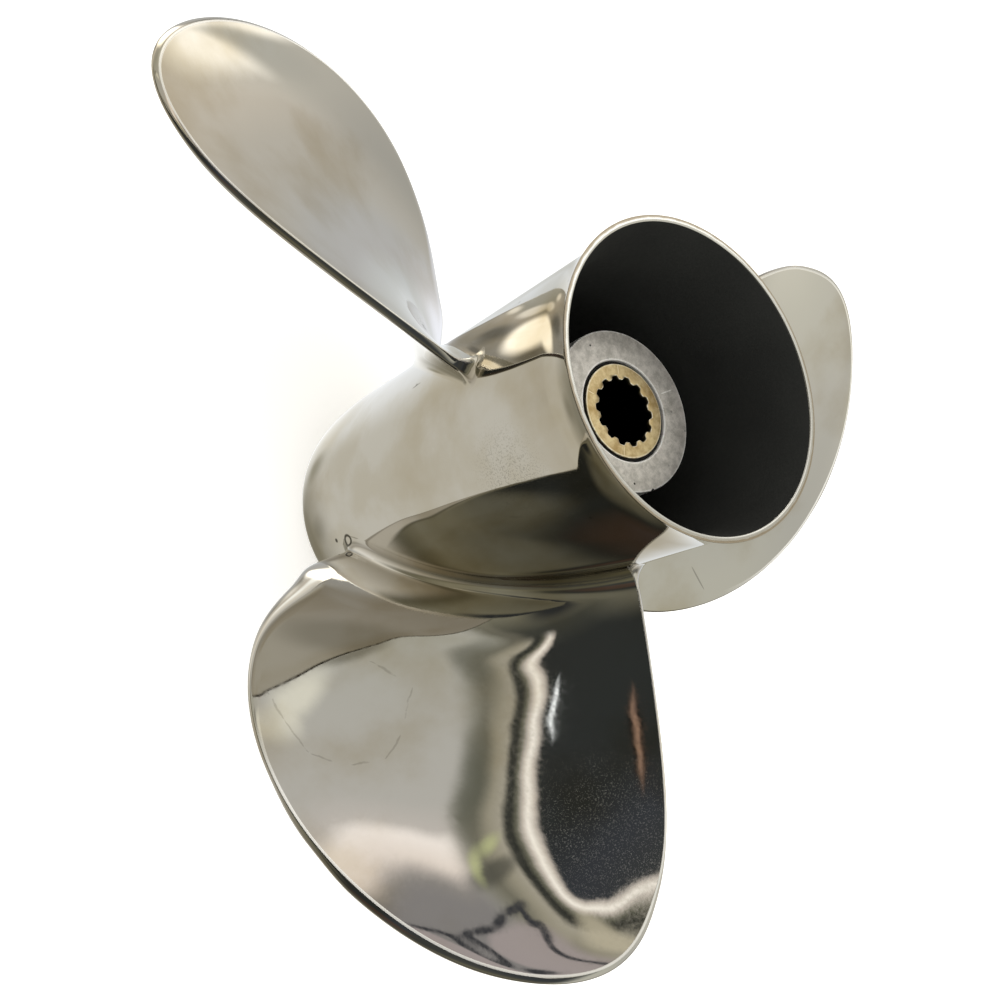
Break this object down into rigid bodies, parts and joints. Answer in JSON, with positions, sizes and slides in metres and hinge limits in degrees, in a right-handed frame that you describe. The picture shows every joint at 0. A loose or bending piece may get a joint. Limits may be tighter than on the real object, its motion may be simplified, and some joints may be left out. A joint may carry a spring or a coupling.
{
  "type": "outboard motor propeller",
  "caption": "Polished stainless outboard propeller with skewed blades, a through-hub exhaust barrel, inner hub, rubber drive bushing and splined brass sleeve.",
  "frame": {"origin": "on the shaft axis, in the plane of the barrel's flat front end, on which the propeller stands", "axes": "+Z along the shaft axis, pointing aft out of the exhaust end; +Y along the middle line of blade_1"},
  "size_m": [0.2401, 0.2232, 0.1322],
  "materials": {
    "polished_stainless": "mirror polished",
    "cast_stainless": "as cast, satin",
    "bushing_rubber": "matte",
    "sleeve_brass": "turned"
  },
  "bodies": {
    "root": {"hub_barrel": "polished_stainless", "blade_1": "polished_stainless", "blade_2": "polished_stainless", "blade_3": "polished_stainless", "inner_hub": "cast_stainless", "hub_rib_1": "cast_stainless", "hub_rib_2": "cast_stainless", "hub_rib_3": "cast_stainless", "rubber_bushing": "bushing_rubber", "spline_sleeve": "sleeve_brass"}
  },
  "joints": []
}
